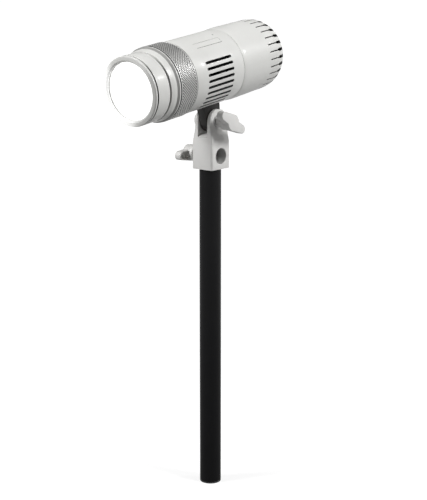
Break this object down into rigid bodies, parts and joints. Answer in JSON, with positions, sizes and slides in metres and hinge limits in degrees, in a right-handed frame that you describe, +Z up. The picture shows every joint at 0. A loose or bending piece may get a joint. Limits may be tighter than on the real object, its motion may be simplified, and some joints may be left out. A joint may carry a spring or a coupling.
{
  "type": "led photography spotlight",
  "caption": "LED photography spotlight with a telescoping lens barrel, knurled focus ring, vented cylindrical head, tilting fork bracket with wing knobs and a round black pole",
  "frame": {"origin": "centre of the flat lower face of the pole's end plug", "axes": "+Z up along the pole, X along the tilt axis with the tilt knob at +X, the head looks towards -Y"},
  "size_m": [0.0732, 0.2125, 0.4793],
  "materials": {
    "body_grey": "fine textured light grey paint",
    "bracket_grey": "satin light grey paint",
    "knob_grey": "moulded grey plastic",
    "strip_grey": "satin cover strip",
    "black_paint": "satin black paint",
    "black_metal": "matt black anodised metal",
    "black_plastic": "moulded black plastic",
    "aluminium": "machined aluminium",
    "steel": "zinc plated steel",
    "brass": "turned brass",
    "rubber": "matt rubber",
    "lens_glass": "clear polished lens",
    "reflector_mirror": "metallised reflector",
    "board_white": "white solder mask",
    "board_green": "green solder mask",
    "emitter_yellow": "phosphor dome",
    "indicator_green": "translucent light guide"
  },
  "bodies": {
    "pole": {"pole_tube": "black_paint", "pole_end_plug": "black_plastic", "pole_stud": "steel"},
    "bracket": {"bracket_block": "bracket_grey", "pivot_bolt": "steel", "bolt_cap": "bracket_grey", "friction_washer_left": "rubber", "friction_washer_right": "rubber"},
    "tilt_washer": {"thrust_washer": "steel"},
    "tilt_handle": {"tilt_knob": "knob_grey", "tilt_knob_insert": "brass"},
    "lock_end": {"lock_pad": "brass"},
    "lock_handle": {"lock_knob": "knob_grey", "lock_screw": "steel"},
    "head": {"mount_lug": "black_metal", "lug_screw_front": "steel", "lug_screw_rear": "steel", "middle_housing": "body_grey", "control_strip": "strip_grey", "indicator_light": "indicator_green", "front_tube": "black_metal", "nose_collar": "body_grey", "reflector": "reflector_mirror", "led_emitter": "emitter_yellow", "led_board": "board_white", "heat_sink": "aluminium", "fan_frame": "black_plastic", "driver_board": "board_green", "rear_housing": "body_grey", "rear_panel": "black_plastic", "panel_screw_left": "steel", "panel_screw_right": "steel", "dimmer_pot": "steel", "switch_frame": "black_plastic", "power_inlet": "black_plastic"},
    "rotor": {"fan_rotor": "black_plastic"},
    "zoom_ring": {"focus_ring": "aluminium"},
    "zoom_barrel": {"lens_barrel": "body_grey", "lens_gasket": "rubber", "front_lens": "lens_glass", "lens_retainer": "black_metal"},
    "dimmer": {"dimmer_knob": "black_plastic"},
    "rocker": {"power_rocker": "black_plastic"}
  },
  "joints": [
    {"name": "pan", "type": "hinge", "parent": "pole", "child": "bracket", "pos_m": [0, 0, 0.3338], "axis": [0, 0, 1], "continuous": true},
    {"name": "tilt", "type": "hinge", "parent": "bracket", "child": "head", "pos_m": [0, 0, 0.382], "axis": [1, 0, 0], "range_deg": [-97.7, 82.3]},
    {"name": "tilt_travel", "type": "slide", "parent": "bracket", "child": "tilt_washer", "axis": [1, 0, 0], "range_m": [0, 0.002]},
    {"name": "tilt_turn", "type": "hinge", "parent": "tilt_washer", "child": "tilt_handle", "pos_m": [0, 0, 0.382], "axis": [1, 0, 0], "range_deg": [0, 720]},
    {"name": "lock_travel", "type": "slide", "parent": "bracket", "child": "lock_end", "axis": [-1, 0, 0], "range_m": [0, 0.002]},
    {"name": "lock_turn", "type": "hinge", "parent": "lock_end", "child": "lock_handle", "pos_m": [0, 0, 0.3475], "axis": [-1, 0, 0], "range_deg": [0, 720]},
    {"name": "focus_turn", "type": "hinge", "parent": "head", "child": "zoom_ring", "pos_m": [0, 0, 0.43498], "axis": [0, -0.991, -0.134], "range_deg": [0, 120]},
    {"name": "barrel_slide", "type": "slide", "parent": "head", "child": "zoom_barrel", "axis": [0, -0.991, -0.134], "range_m": [0, 0.012]},
    {"name": "fan_spin", "type": "hinge", "parent": "head", "child": "rotor", "pos_m": [0, 0, 0.43498], "axis": [0, -0.991, -0.134], "continuous": true},
    {"name": "dimmer_turn", "type": "hinge", "parent": "head", "child": "dimmer", "pos_m": [0, -0.001, 0.44241], "axis": [0, 0.991, 0.134], "range_deg": [-135, 135]},
    {"name": "power_rock", "type": "hinge", "parent": "head", "child": "rocker", "pos_m": [-0.0065, 0.08193, 0.44101], "axis": [1, 0, 0], "range_deg": [-20, 0]}
  ],
  "couplings": [
    {"joint": "tilt_turn", "follows": "tilt_travel", "rad_per_m": 6283.2},
    {"joint": "lock_turn", "follows": "lock_travel", "rad_per_m": 6283.2},
    {"joint": "barrel_slide", "follows": "focus_turn", "m_per_rad": 0.0057295}
  ]
}
